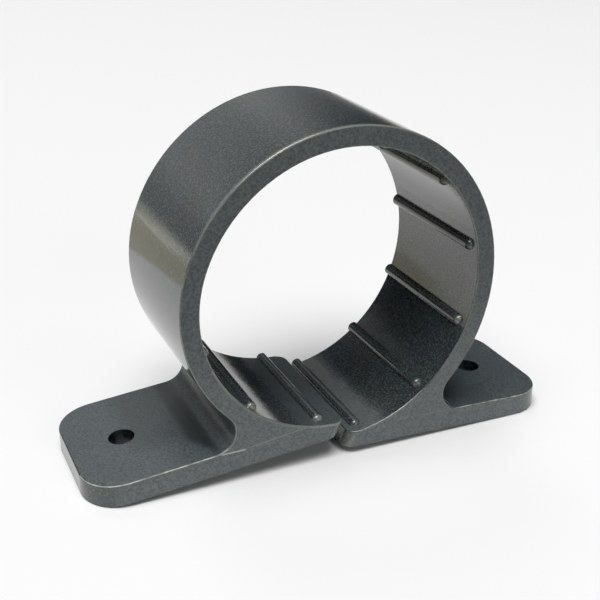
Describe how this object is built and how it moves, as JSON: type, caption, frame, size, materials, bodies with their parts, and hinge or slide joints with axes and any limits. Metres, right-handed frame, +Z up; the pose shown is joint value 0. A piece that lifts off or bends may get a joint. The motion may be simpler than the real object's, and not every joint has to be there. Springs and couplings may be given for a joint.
{
  "type": "two-hole pipe strap",
  "caption": "One-piece moulded pipe strap: a split ring with ribs along its bore, closed over two flat feet with a plain screw hole in each.",
  "frame": {"origin": "under the bore's axis, halfway along the bore, on the surface that the outer edges of the two feet stand on", "axes": "+X along the feet towards the foot whose end of the split ring lies lower, +Y along the bore from the face where the ribs stop short to the face where they run out, +Z up"},
  "size_m": [0.0888, 0.0274, 0.0582],
  "materials": {
    "grey_plastic": "semi-gloss moulded, with a fine grain"
  },
  "bodies": {
    "root": {"strap": "grey_plastic"}
  },
  "joints": []
}
